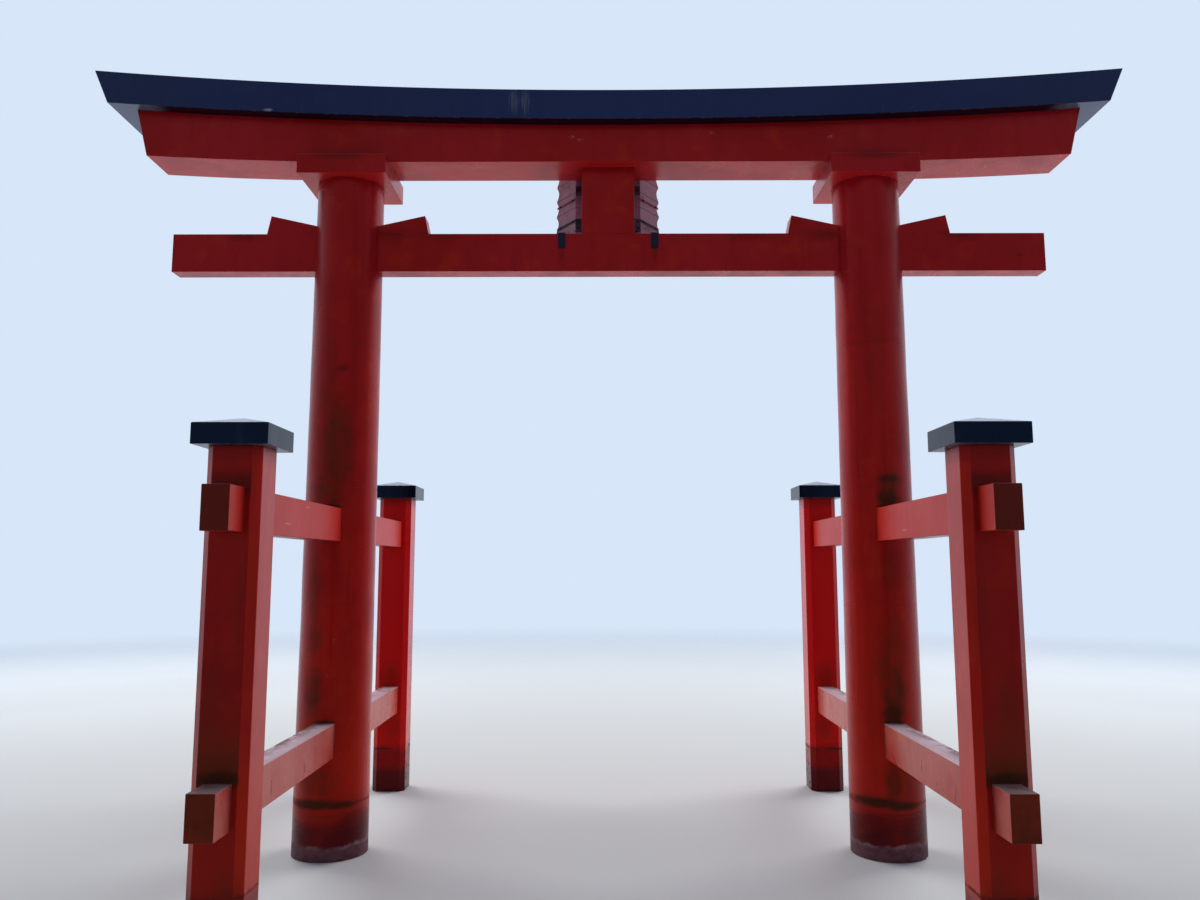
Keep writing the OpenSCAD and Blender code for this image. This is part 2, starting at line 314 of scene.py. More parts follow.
def vermilion(name, runs=0.5, dust=0.75):
    """Thick vermilion paint over floated concrete: clouded, streaked by rain, chalky where it faces up, and
    turned crimson higher up as painted haze.
    """
    coat = Coat(name, shade(172, 22, 17), 0.25)
    height = coat.put("ShaderNodeSeparateXYZ", coat.place).outputs["Z"]
    # Painted haze: above 2.5 m the red turns crimson, as if a haze of light lay over the upper parts.
    coat.layer(coat.ramp(height, 2.5, 7.0), shade(160, 18, 36), None, 0.75)
    coat.layer(coat.cloud(1.6, 0.40, 0.66), shade(150, 14, 20), 0.34)
    coat.layer(coat.cloud(0.30, 0.50, 0.74, detail=6.0), shade(188, 40, 22), 0.23, 0.5)
    upright = coat.upright()
    run = coat.both(upright, coat.cloud(1.1, 0.48, 0.72, (9, 9, 0.6)))
    coat.layer(run, shade(126, 14, 16), 0.40, 0.8 * runs)
    pale_run = coat.both(upright, coat.cloud(0.5, 0.58, 0.76, (20, 20, 0.7), shift=3.1))
    coat.layer(pale_run, shade(194, 56, 40), 0.32, 0.3 * runs)
    up = coat.facing("Z")
    coat.layer(coat.both(up, coat.cloud(0.16, 0.28, 0.62, detail=6.0)), shade(172, 126, 126), 0.7, dust)
    coat.layer(coat.cloud(0.016, 0.64, 0.74), shade(92, 18, 16), 0.5, 0.4)
    chip = coat.both(coat.cloud(0.05, 0.70, 0.73, detail=3.0), coat.cloud(0.7, 0.58, 0.64, shift=7.7))
    coat.layer(chip, shade(128, 84, 74), 0.85, 0.8, -0.7)
    worn = coat.both(coat.arris(), coat.cloud(0.5, 0.46, 0.66, detail=6.0))
    coat.layer(worn, shade(190, 66, 50), 0.4, 0.25)
    coat.rise(coat.cloud(0.45, 0.2, 0.8, detail=2.0), 2.6)
    coat.rise(coat.cloud(0.09, 0.2, 0.8, (1, 1, 0.5), detail=3.0), 0.45)
    coat.rise(coat.cloud(0.007, 0.2, 0.8, detail=2.0), 0.07)
    return coat


def spots(coat, places, deep=0.22, soft=0.6, ragged=0.9):
    """One mask of many patches, each given as x, y, z, half width, half height and strength."""
    whole = None
    for x, y, z, wide, tall, strength in places:
        one = coat.patch((x, y, z), (wide, deep, tall), soft, ragged)
        if strength != 1:
            one = coat.sum("MULTIPLY", one, strength)
        whole = one if whole is None else coat.either(whole, one)
    return whole


def moss(coat, mask, amount=1.0):
    """Black-green moss, thick and dull."""
    grown = coat.both(mask, coat.cloud(0.03, 0.36, 0.58, detail=6.0))
    coat.layer(mask, shade(38, 18, 14), 0.8, 0.9 * amount)
    coat.layer(grown, shade(48, 40, 22), 0.9, 0.6 * amount, 1.6)


def soot(coat, mask, amount=1.0):
    """Thin brown-green algae film, blotchy and drawn out downwards by rain."""
    run = coat.cloud(0.7, 0.12, 0.56, (4, 4, 1), shift=1.7)
    coat.layer(coat.both(mask, run), shade(76, 28, 16), 0.5, 0.85 * amount)
    blotch = coat.cloud(0.10, 0.46, 0.72, (1.6, 1.6, 1), detail=6.0)
    coat.layer(coat.both(mask, blotch), shade(60, 46, 26), 0.7, 0.5 * amount)
    core = coat.ramp(coat.both(mask, coat.cloud(0.34, 0.20, 0.62, (2.6, 2.6, 0.9), detail=6.0)), 0.58, 1.04)
    coat.layer(core, shade(46, 28, 18), 0.65, 0.6 * amount)


def take(piece):
    """Selects one piece alone and makes it the active one."""
    bpy.ops.object.select_all(action="DESELECT")
    piece.select_set(True)
    bpy.context.view_layer.objects.active = piece


def settle():
    """Puts the place, turn and size of what is selected into its mesh."""
    bpy.ops.object.transform_apply(location=True, rotation=True, scale=True)


def smooth_over(piece):
    """Smooths the shading across all but the sharp edges."""
    bpy.ops.object.shade_smooth_by_angle(angle=math.radians(38))
    even = piece.modifiers.new("even", "WEIGHTED_NORMAL")
    even.keep_sharp = True
    bpy.ops.object.modifier_apply(modifier="even")


def round_arrises(piece, arris, limit=25):
    """Bevels the piece's arrises, marks them for the paint and smooths the shading."""
    bpy.context.view_layer.objects.active = piece
    piece.data.materials.clear()
    piece.data.materials.append(None)
    piece.data.materials.append(None)
    bevel = piece.modifiers.new("arris", "BEVEL")
    bevel.width = arris
    bevel.segments = 3
    bevel.limit_method = "ANGLE"
    bevel.angle_limit = math.radians(limit)
    bevel.material = 1
    bpy.ops.object.modifier_apply(modifier="arris")
    marks = piece.data.attributes.new("arris", "FLOAT", "FACE")
    for face in piece.data.polygons:
        marks.data[face.index].value = face.material_index
        face.material_index = 0
    smooth_over(piece)


def set_up(piece, paint, slot, *nodes):
    """Paints a piece, lets it ride with the gate and hides the solids that it stands for."""
    piece.data.materials.clear()
    piece.data.materials.append(paint)
    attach(piece, "root")
    if nodes:
        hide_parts(*nodes)


float_marks = bpy.data.textures.new("float_marks", "CLOUDS")
float_marks.noise_scale = 0.55
float_marks.noise_depth = 1


def pick_upright_edges(piece):
    """Selects the edges that run up the whole piece, in edit mode."""
    bpy.ops.object.mode_set(mode="EDIT")
    bpy.ops.mesh.select_mode(type="EDGE")
    bpy.ops.mesh.select_all(action="DESELECT")
    bpy.ops.object.mode_set(mode="OBJECT")
    for edge in piece.data.edges:
        first, last = (piece.data.vertices[v].co for v in edge.vertices)
        edge.select = abs(first.z - last.z) > 1
    bpy.ops.object.mode_set(mode="EDIT")


def cast_pillar(name, side):
    """Tapering shaft, a little uneven from the float, with a shallow groove at each lift joint."""
    x = side * pillar_x
    bpy.ops.object.select_all(action="DESELECT")
    bpy.ops.mesh.primitive_cone_add(
        vertices=128, radius1=pillar_foot_radius, radius2=pillar_neck_radius, depth=pillar_top,
        end_fill_type="NOTHING", location=(x, 0, pillar_top / 2))
    pillar = bpy.context.object
    pillar.name = name
    settle()
    pick_upright_edges(pillar)
    bpy.ops.mesh.subdivide(number_cuts=pillar_rings)
    bpy.ops.mesh.select_mode(type="VERT")
    bpy.ops.object.mode_set(mode="OBJECT")
    uneven = pillar.modifiers.new("uneven", "DISPLACE")
    uneven.texture = float_marks
    uneven.texture_coords = "LOCAL"
    uneven.strength = unevenness
    bpy.ops.object.modifier_apply(modifier="uneven")
    bpy.ops.object.mode_set(mode="EDIT")
    bpy.ops.mesh.select_all(action="SELECT")
    bpy.ops.mesh.fill_holes(sides=0)
    bpy.ops.mesh.select_all(action="SELECT")
    bpy.ops.mesh.normals_make_consistent(inside=False)
    for joint in lift_joints:
        for height, width in ((joint - joint_half, 1), (joint + joint_half, 1), (joint, joint_neck)):
            bpy.ops.mesh.select_all(action="SELECT")
            bpy.ops.mesh.bisect(plane_co=(0, 0, height), plane_no=(0, 0, 1))
            if width < 1:
                bpy.ops.transform.resize(value=(width, width, 1), center_override=(x, 0, height))
    bpy.ops.object.mode_set(mode="OBJECT")
    round_arrises(pillar, 0.006, 60)
    return pillar


def pillar_stains(coat):
    """Everything that damp has done to the two shafts, from the foot up."""
    left, right = -pillar_x, pillar_x
    coat.layer(coat.band("Z", -0.5, 1.9, 0.8, 0.2, 0.6), shade(178, 40, 20), 0.28, 0.5)
    joint_lines = [coat.band("Z", joint - 0.012, joint + 0.006, 0.010, 0.04) for joint in lift_joints]
    coat.layer(coat.either(*joint_lines), shade(104, 14, 16), 0.5, 0.3)
    near_film = (
        (left + 0.02, 4.30, 0.27, 0.85, 0.9), (left - 0.05, 3.85, 0.24, 0.34, 0.9),
        (left - 0.10, 5.10, 0.16, 0.70, 0.5), (left - 0.14, 1.72, 0.16, 0.34, 1),
        (left - 0.14, 2.28, 0.13, 0.24, 0.7), (left - 0.16, 2.75, 0.14, 0.60, 0.5),
        (left - 0.05, 0.80, 0.30, 0.24, 0.7), (right + 0.02, 3.80, 0.20, 0.24, 1),
        (right + 0.05, 3.96, 0.20, 0.14, 1), (right + 0.02, 3.02, 0.14, 0.34, 0.5),
        (right, 2.00, 0.24, 0.75, 0.75), (right + 0.02, 1.74, 0.20, 0.50, 0.9),
        (right - 0.02, 1.48, 0.16, 0.22, 1), (right - 0.03, 0.78, 0.14, 0.34, 0.9),
        (right + 0.16, 0.82, 0.26, 0.36, 0.55), (right - 0.06, 5.20, 0.16, 0.90, 0.35))
    far_film = (
        (left + 0.12, 3.90, 0.20, 0.34, 1), (left + 0.05, 1.75, 0.16, 0.42, 1),
        (left - 0.12, 5.00, 0.14, 1.00, 0.5), (right - 0.06, 3.95, 0.18, 0.40, 1),
        (right + 0.10, 1.72, 0.18, 0.36, 1), (right, 4.90, 0.15, 0.90, 0.5))
    film = [(x, pillar_near, *rest) for x, *rest in near_film]
    film += [(x, -pillar_near, *rest) for x, *rest in far_film]
    soot(coat, spots(coat, film, 0.22, 0.7, 0.8))
    # Damp foot: brownish up to the moss line, maroon where it stays wet, and bare concrete lowest
    coat.layer(coat.band("Z", -0.3, 0.62, 0.10, 0.05, 0.3), shade(132, 24, 20), 0.32, 0.55)
    coat.layer(coat.band("Z", -0.3, 0.44, 0.06, 0.06, 0.36), shade(88, 14, 20), 0.25, 0.85)
    wet = coat.band("Z", -0.3, 0.34, 0.08, 0.10, 0.26)
    wet = coat.both(wet, coat.cloud(0.25, 0.25, 0.55, (1, 1, 2), detail=6.0))
    coat.layer(wet, shade(56, 13, 22), 0.3, 0.85)
    bare = coat.band("Z", -0.3, 0.150, 0.020, 0.10, 0.06)
    coat.layer(bare, shade(98, 72, 80), 0.65, 0.9, -1.0)
    soaked = coat.both(bare, coat.cloud(0.10, 0.40, 0.66, (1, 1, 1.6), detail=8.0))
    coat.layer(soaked, shade(64, 46, 56), 0.55, 0.8)
    rim = coat.both(coat.band("Z", 0.130, 0.165, 0.014, 0.10, 0.06), coat.cloud(0.2, 0.40, 0.60))
    coat.layer(rim, shade(150, 122, 128), 0.6, 0.55)
    # Moss: along the beams that go in, and a line of it all round at 0.57 m
    over_beams = spots(coat, [(x, y, z, 0.15, 0.035, 0.9) for x in (left, right)
                              for y in (pillar_near, -pillar_near) for z in (1.41, 3.68)], 0.16, 0.7, 0.5)
    climbing = spots(coat, [(x, pillar_near, *rest) for x, *rest in (
        (right + 0.05, 3.76, 0.19, 0.13, 0.7), (right + 0.03, 3.99, 0.15, 0.07, 0.6),
        (right + 0.01, 1.52, 0.15, 0.16, 0.7), (left + 0.07, 5.21, 0.11, 0.06, 0.5))], 0.16, 0.9, 0.9)
    line = spots(coat, [(x, pillar_near, *rest) for x, *rest in (
        (left - 0.07, 0.575, 0.44, 0.075, 1), (left + 0.17, 0.566, 0.26, 0.056, 1),
        (right - 0.22, 0.588, 0.42, 0.075, 1), (right + 0.05, 0.564, 0.28, 0.066, 1),
        (right, 0.47, 0.30, 0.026, 0.4), (left, 0.455, 0.30, 0.020, 0.3))], 0.6, 0.7, 0.5)
    ring = coat.sum("MULTIPLY", coat.band("Z", 0.562, 0.582, 0.012, 0.02), 0.6)
    moss(coat, coat.either(over_beams, climbing, line, ring))


coat = vermilion("pillar_paint", 0.6)
pillar_stains(coat)
pillar_paint = coat.finish(0.5, red_gloss)
for side, word in sides:
    set_up(cast_pillar(word + "_pillar_shaft", side), pillar_paint, "vermilion_concrete", word + "_pillar")


# Bracing posts: four square posts of painted concrete with their corners cut off at 45 degrees.
# Each stands on its own foot and is cast round the ends of two side beams.
post_y = 2.928
post_side = 0.443
post_corner = 0.066
post_top = 3.996
ends = ((-1, "back"), (1, "front"))


def cast_block(name, low, high, arris):
    """Solid block between two corners, with its arrises rounded."""
    size = [b - a for a, b in zip(low, high)]
    middle = [(a + b) / 2 for a, b in zip(low, high)]
    bpy.ops.object.select_all(action="DESELECT")
    bpy.ops.mesh.primitive_cube_add(size=1, location=middle, scale=size)
    block = bpy.context.object
    block.name = name
    settle()
    if arris:
        round_arrises(block, arris)
    return block


def cast_post(name, x, y):
    """Square post: a block whose four upright corners are cut off."""
    half = post_side / 2
    post = cast_block(name, (x - half, y - half, 0), (x + half, y + half, post_top), 0)
    pick_upright_edges(post)
    bpy.ops.mesh.bevel(offset=post_corner, offset_type="OFFSET", segments=1)
    bpy.ops.mesh.select_mode(type="VERT")
    bpy.ops.object.mode_set(mode="OBJECT")
    round_arrises(post, 0.006)
    return post


def post_stains(coat):
    """Film and moss over the beam ends, damp feet, a line of moss at the pillars' height, and painted light
    and shade.
    """
    near, inner, front = -post_y - post_side / 2, post_y - post_side / 2, post_y + post_side / 2
    coat.layer(coat.band("Z", -0.5, 1.5, 0.6, 0.2, 0.6), shade(178, 44, 22), 0.3, 0.55)
    along_y = coat.put("ShaderNodeSeparateXYZ", coat.place).outputs["Y"]
    # Painted light: the front pair of posts, towards +Y, is a purer, brighter red, as if lit more strongly
    # than the back pair.
    coat.layer(coat.ramp(along_y, 0.5, 1.0), shade(214, 10, 22), 0.2, 0.7)
    outward = coat.ramp(coat.sum("MULTIPLY", coat.normal.outputs["Y"], along_y), 2.3, 2.7)
    # Painted shade: the faces that look away from the pillars along the beams are a darker red.
    coat.layer(outward, shade(116, 14, 18), 0.32, 0.5)
    sideward = coat.either(coat.facing("X"), coat.facing("-X"))
    # Painted light: the sides of the back pair of posts are a lighter, more orange red, as if lit from the
    # side.
    coat.layer(coat.both(sideward, coat.ramp(along_y, -0.5, -1.0)), shade(226, 66, 44), 0.40, 0.38)
    for low, high, soft, wave, sway, colour, roughness, amount in (
            (1.36, 1.84, 0.20, 0.30, 0.60, shade(108, 34, 18), 0.45, 0.8),
            (1.36, 1.58, 0.10, 0.25, 0.40, shade(70, 36, 18), 0.6, 0.7),
            (1.36, 1.46, 0.05, 0.10, 0.15, shade(34, 18, 10), 0.7, 0.9),
            (3.60, 3.77, 0.06, 0.08, 0.10, shade(52, 12, 14), 0.5, 0.75)):
        coat.layer(coat.both(outward, coat.band("Z", low, high, soft, wave, sway)), colour, roughness, amount)
    film, thick = [], []
    for out in (-1, 1):
        x = out * pillar_x
        film += [
            (x + out * 0.05, near, 2.0, 0.18, 0.50, 0.45), (x - out * 0.08, near, 0.52, 0.20, 0.36, 0.6),
            (x + out * 0.2, near + 0.05, 0.4, 0.1, 0.5, 0.6), (x - out * 0.12, near, 2.6, 0.10, 0.7, 0.3),
            (x, inner, 1.55, 0.20, 0.26, 0.5), (x - out * 0.05, inner, 0.85, 0.2, 0.3, 0.5),
            (x, front, 1.9, 0.17, 0.40, 0.5)]
        for y in (near, front):
            thick += [(x + 0.02, y, 1.42, 0.19, 0.09, 1), (x, y, 3.67, 0.13, 0.03, 0.8)]
    soot(coat, spots(coat, film, 0.14, 0.9, 0.8))
    # Painted shadow: a darker band round the head of each post, just under the cap.
    coat.layer(coat.band("Z", 3.88, 4.2, 0.06, 0.05, 0.1), shade(110, 16, 22), 0.42, 0.5)
    coat.layer(coat.band("Z", -0.3, 0.58, 0.08, 0.05, 0.3), shade(96, 15, 21), 0.34, 0.75)
    coat.layer(coat.band("Z", -0.3, 0.30, 0.07, 0.08, 0.16), shade(54, 12, 22), 0.28, 0.92)
    ring = coat.both(coat.band("Z", 0.552, 0.578, 0.010, 0.04), coat.cloud(0.3, 0.36, 0.56))
    growth = coat.cloud(0.09, 0.56, 0.66, (1, 1, 1.6), detail=6.0)
    growth = coat.both(coat.band("Z", -0.3, 0.45, 0.2, 0.3), growth)
    moss(coat, coat.either(spots(coat, thick, 0.08, 0.7, 0.5), ring, growth), 0.85)


coat = vermilion("post_paint", 0.6)
post_stains(coat)
post_paint = coat.finish(0.5, red_gloss)
for side, word in sides:
    for end, place in ends:
        post = cast_post(f"{word}_{place}_post_shaft", side * pillar_x, end * post_y)
        set_up(post, post_paint, "vermilion_concrete", f"{word}_{place}_post")


# Side beams: two level beams of painted concrete on each side, which run through two posts and a pillar.
# Their ends stand 0.3 m out of the posts, and mortar beads fill the joints where they go in.
beam_half = 0.11
beam_end = 3.443
beam_heights = {"upper": (3.306, 3.663), "lower": (1.043, 1.394)}
bead_radius = 0.006
bead_start = 0.6
bead_reach = 0.5


def beam_stains(coat):
    """Drips down the sides, rust spots, scuffs, weathered mossy tops and dirty ends, with painted sheen and
    light on the sides.
    """
    along = coat.put("ShaderNodeSeparateXYZ", coat.place)
    side = coat.either(coat.facing("X"), coat.facing("-X"))
    tops = [high for low, high in beam_heights.values()]
    drops = [coat.ramp(along.outputs["Z"], high - 0.28, high) for high in tops]
    lower = coat.ramp(along.outputs["Z"], 2.0, 2.1, 1.0, 0.0)
    upper = coat.ramp(along.outputs["Z"], 2.0, 2.1)
    # The lower beams' sides are chalky in patches, and their pale pink also stands for a painted sheen.
    coat.layer(coat.both(side, lower, coat.cloud(0.8, 0.2, 0.7)), shade(240, 158, 140), 0.32, 0.40)
    # Painted light: the upper beams' sides are a lighter, more orange red, as if lit from the side.
    coat.layer(coat.both(side, upper), shade(224, 52, 30), 0.46, 0.45)
    fall = coat.sum("ADD", coat.both(drops[1], lower), coat.both(drops[0], 0.35))
    drip = coat.both(side, fall, coat.cloud(0.5, 0.57, 0.70, (1, 36, 1.2), shift=2.3))
    coat.layer(drip, shade(96, 36, 26), 0.5, 0.28)
    left, right = beam_half - pillar_x, pillar_x - beam_half
    rust = spots(coat, [(x, y, z, 0.03, tall, 1) for x, y, z, tall in (
        (left, -1.35, 1.20, 0.02), (right, -1.52, 1.24, 0.02), (right, -2.35, 1.16, 0.02),
        (right, -0.95, 1.30, 0.02), (left, -2.25, 1.22, 0.02), (left, -1.90, 1.10, 0.02),
        (right, -1.90, 1.12, 0.02), (right, -1.52, 1.18, 0.07), (right, -2.35, 1.11, 0.06),
        (left, -1.35, 1.14, 0.08), (left, -2.25, 1.16, 0.07))], 0.014, 0.8, 0.5)
    coat.layer(rust, shade(84, 32, 18), 0.6, 0.9)
    scuff = coat.either(*[coat.patch((x, y, z), (0.03, wide, 0.012), 0.7, 0.8) for x, y, z, wide in (
        (left, -1.55, 3.60, 0.09), (left, -2.10, 3.42, 0.12), (left, -2.50, 3.61, 0.07),
        (right, -1.30, 3.39, 0.10))])
    coat.layer(scuff, shade(222, 150, 140), 0.55, 0.6)
    low_top = coat.both(coat.facing("Z", 0.3, 0.8), coat.band("Z", 1.3, 1.5, 0.02))
    chalky = coat.both(low_top, coat.cloud(0.35, 0.15, 0.5, (1, 0.5, 1), detail=6.0))
    coat.layer(chalky, shade(206, 184, 196), 0.45, 0.9)
    outer = coat.ramp(coat.sum("ABSOLUTE", along.outputs["X"]), pillar_x - 0.06, pillar_x + 0.10, 0.15, 1.0)
    mossy = coat.both(low_top, outer, coat.cloud(0.12, 0.38, 0.60, (1, 0.5, 1), detail=8.0))
    coat.layer(mossy, shade(88, 68, 52), 0.85, 0.8, 0.8)
    stub = coat.ramp(coat.sum("ABSOLUTE", along.outputs["Y"]), post_y + 0.16, post_y + 0.22)
    coat.layer(coat.both(low_top, stub), shade(96, 70, 60), 0.7, 0.75)
    end = coat.either(coat.facing("Y"), coat.facing("-Y"))
    coat.layer(end, shade(104, 42, 26), 0.5, 0.92)
    coat.layer(coat.both(end, upper), shade(78, 24, 26), 0.5, 0.6)
    coat.layer(coat.both(end, coat.cloud(0.3, 0.40, 0.66)), shade(74, 30, 20), 0.6, 0.7)
    coat.layer(coat.both(end, coat.cloud(0.05, 0.56, 0.70, detail=6.0)), shade(70, 40, 26), 0.7, 0.4)
    coat.layer(coat.both(coat.facing("-Z"), coat.cloud(0.4, 0.42, 0.6)), shade(118, 24, 24), 0.5, 0.6)


coat = vermilion("beam_paint", 0.35, 0.8)
beam_stains(coat)
beam_paint = coat.finish(0.32, red_gloss)


def bead_outline(name, x, y, low, high, cuts):
    """Closed loop of edges round a beam's section, at y."""
    bpy.ops.object.select_all(action="DESELECT")
    middle = (x, y, (low + high) / 2)
    bpy.ops.mesh.primitive_plane_add(size=1, location=middle, rotation=(math.pi / 2, 0, 0))
    loop = bpy.context.object
    loop.name = name
    loop.scale = (2 * beam_half, high - low, 1)
    settle()
    bpy.ops.object.mode_set(mode="EDIT")
    bpy.ops.mesh.select_all(action="SELECT")
    bpy.ops.mesh.delete(type="ONLY_FACE")
    bpy.ops.mesh.select_all(action="SELECT")
    bpy.ops.mesh.subdivide(number_cuts=cuts)
    bpy.ops.object.mode_set(mode="OBJECT")
    return loop


def round_bead(loop, radius):
    """Turns a loop of edges into a round bead."""
    take(loop)
    bpy.ops.object.convert(target="CURVE")
    loop.data.bevel_depth = radius
    loop.data.bevel_resolution = 2
    bpy.ops.object.convert(target="MESH")
    bpy.ops.object.shade_smooth()


for side, word in sides:
    x = side * pillar_x
    for place, (low, high) in beam_heights.items():
        near_corner, far_corner = (x - beam_half, -beam_end, low), (x + beam_half, beam_end, high)
        beam = cast_block(f"{word}_{place}_beam_cast", near_corner, far_corner, 0.007)
        set_up(beam, beam_paint, "vermilion_concrete", f"{word}_{place}_beam")
        beads = []
        for end in (-1, 1):
            for face in (-1, 1):
                y = end * post_y + face * post_side / 2
                beads.append(bead_outline("bead", x, y, low, high, 0))
            pillar_bead = bead_outline("bead", x, end * bead_start, low, high, 7)
            wrap = pillar_bead.modifiers.new("wrap", "SHRINKWRAP")
            wrap.target = bpy.data.objects[word + "_pillar_shaft"]
            wrap.wrap_method = "PROJECT"
            wrap.use_project_x = False
            wrap.use_project_y = True
            wrap.use_project_z = False
            wrap.use_negative_direction = True
            wrap.use_positive_direction = True
            wrap.project_limit = bead_reach
            bpy.ops.object.modifier_apply(modifier="wrap")
            beads.append(pillar_bead)
        for bead in beads:
            round_bead(bead, bead_radius)
        take(beads[0])
        for bead in beads:
            bead.select_set(True)
        bpy.ops.object.join()
        beads[0].name = f"{word}_{place}_beam_beads"
        set_up(beads[0], beam_paint, "vermilion_concrete")


# Post caps: square concrete slabs with a low four-sided roof, bedded on the posts.
# Their black paint has a blue sheen, and the roofs have gone pale in the rain and carry a painted sheen.
cap_side = 0.615
cap_height = 0.172
cap_rise = 0.078
blue_gloss = (0.20, 0.34, 0.66)


def black_paint(name):
    """Black paint, faintly blue, dusty in streaks and grey where rain and sun reach it from above."""
    coat = Coat(name, shade(5, 10, 25), 0.18)
    coat.layer(coat.cloud(1.2, 0.42, 0.66), shade(9, 16, 34), 0.24)
    coat.layer(coat.cloud(0.16, 0.52, 0.72, detail=6.0), shade(20, 27, 42), 0.30, 0.45)
    coat.layer(coat.cloud(0.9, 0.58, 0.76, (12, 12, 0.8)), shade(48, 53, 66), 0.40, 0.25)
    up = coat.facing("Z", 0.6, 0.9)
    coat.layer(coat.both(up, coat.cloud(0.12, 0.34, 0.70, detail=8.0)), shade(92, 98, 108), 0.12, 0.7)
    moss(coat, coat.both(up, coat.cloud(0.08, 0.60, 0.70, detail=8.0)), 0.6)
    worn = coat.both(coat.arris(), coat.cloud(0.08, 0.46, 0.64, detail=6.0))
    coat.layer(worn, shade(84, 92, 110), 0.45, 0.35)
    coat.layer(coat.cloud(0.02, 0.68, 0.76), shade(84, 86, 92), 0.6, 0.35)
    coat.rise(coat.cloud(0.4, 0.2, 0.8, detail=2.0), 1.8)
    coat.rise(coat.cloud(0.08, 0.2, 0.8, detail=3.0), 0.4)
    coat.rise(coat.cloud(0.007, 0.2, 0.8, detail=2.0), 0.07)
    return coat


def cast_cap(name, x, y):
    """Square slab with its top drawn up to a point."""
    half = cap_side / 2
    cap = cast_block(name, (x - half, y - half, post_top), (x + half, y + half, post_top + cap_height), 0)
    bpy.ops.object.mode_set(mode="EDIT")
    bpy.ops.mesh.select_mode(type="FACE")
    bpy.ops.mesh.select_all(action="DESELECT")
    bpy.ops.object.mode_set(mode="OBJECT")
    for face in cap.data.polygons:
        face.select = face.normal.z > 0.9
    bpy.ops.object.mode_set(mode="EDIT")
    bpy.ops.mesh.poke()
    bpy.ops.mesh.select_mode(type="VERT")
    bpy.ops.mesh.select_all(action="DESELECT")
    bpy.ops.object.mode_set(mode="OBJECT")
    for vertex in cap.data.vertices:
        vertex.select = (vertex.co - Vector((x, y, post_top + cap_height))).length < 0.01
    bpy.ops.object.mode_set(mode="EDIT")
    bpy.ops.transform.translate(value=(0, 0, cap_rise))
    bpy.ops.object.mode_set(mode="OBJECT")
    round_arrises(cap, 0.005, 10)
    return cap


coat = black_paint("cap_paint")
# Painted reflection: pale patches on the caps' undersides, as if lit by light thrown up from below.
under = coat.both(coat.facing("-Z", 0.6, 0.9), coat.cloud(0.5, 0.15, 0.5))
coat.layer(under, shade(92, 102, 118), 0.35, 0.6)
# The roofs are weathered pale, and their near-white also stands for a painted sheen.
roof_dust_and_sheen = coat.both(coat.facing("Z", 0.6, 0.9), coat.cloud(0.09, 0.26, 0.56, detail=8.0))
coat.layer(roof_dust_and_sheen, shade(164, 170, 180), 0.06, 0.85)
cap_paint = coat.finish(0.24, blue_gloss)
for side, word in sides:
    for end, place in ends:
        cap = cast_cap(f"{word}_{place}_cap_slab", side * pillar_x, end * post_y)
        set_up(cap, cap_paint, "black_concrete", f"{word}_{place}_cap")


# Tie beam: one concrete beam through both pillars, locked by four wedges that lie on it.
# The centre strut stands on it and carries the lower lintel at midspan.
tie_low, tie_high = 6.394, 6.840
tie_half = 0.1125
tie_end = 5.010
strut_half = 0.303
strap_x = 0.534
lintel_low = 7.637
# Painted reflection: a brighter red for undersides, as if glare from below lit them.
painted_glare_under = shade(240, 52, 50)

coat = vermilion("tie_paint", 0.35, 0.9)
film = spots(coat, [(x, -tie_half, 6.83, 0.35, 0.12, 1) for x in (-4.2, -2.55, -1.9, 1.6, 2.5, 4.05)],
             0.1, 0.9, 1.2)
coat.layer(film, shade(96, 14, 16), 0.5, 0.6)
rust = spots(coat, [(x, -tie_half, z, 0.05, tall, 1) for x, z, tall in (
    (-strap_x, 6.60, 0.16), (strap_x, 6.60, 0.16), (4.72, 6.58, 0.04))], 0.05, 0.9, 0.8)
coat.layer(rust, shade(84, 22, 16), 0.55, 0.65)
under = coat.facing("-Z")
# Painted reflection: the tie beam's underside is brighter, as if lit by glare from below.
coat.layer(under, painted_glare_under, None, 0.45)
coat.layer(coat.both(under, coat.cloud(0.5, 0.42, 0.6)), shade(130, 28, 28), 0.4, 0.5)
tie_paint = coat.finish(0.5, red_gloss)

tie = cast_block("tie_beam_cast", (-tie_end, -tie_half, tie_low), (tie_end, tie_half, tie_high), 0.005)
set_up(tie, tie_paint, "vermilion_concrete", "tie_beam")
near_corner, far_corner = (-strut_half, -tie_half, tie_high), (strut_half, tie_half, lintel_low)
strut = cast_block("centre_strut_cast", near_corner, far_corner, 0.006)
set_up(strut, tie_paint, "vermilion_concrete", "centre_strut")


def rounded_solid(name, arris, limit=25, merge=0.0002):
    """Copy of a solid with its corners merged, its facets joined and its arrises rounded."""
    solid = frame["nodes"][name]
    piece = solid.copy()
    piece.data = solid.data.copy()
    piece.name = name + "_cast"
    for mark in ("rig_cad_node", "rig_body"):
        del piece[mark]
    piece.parent = None
    bpy.context.scene.collection.objects.link(piece)
    take(piece)
    bpy.ops.object.mode_set(mode="EDIT")
    bpy.ops.mesh.select_all(action="SELECT")
    bpy.ops.mesh.remove_doubles(threshold=merge)
    bpy.ops.mesh.dissolve_limited(angle_limit=math.radians(0.05))
    bpy.ops.object.mode_set(mode="OBJECT")
    round_arrises(piece, arris, limit)
    return piece


for wedge in ("left_outer_wedge", "left_inner_wedge", "right_inner_wedge", "right_outer_wedge"):
    set_up(rounded_solid(wedge, 0.003), tie_paint, "vermilion_concrete", wedge)


# Capital blocks: a square slab of painted concrete cast on the head of each pillar.
# It spreads the load of the lower lintel, which lies in a shallow seat on it.
capital_half_x = 0.498
capital_half_y = 0.480
capital_top = 7.646

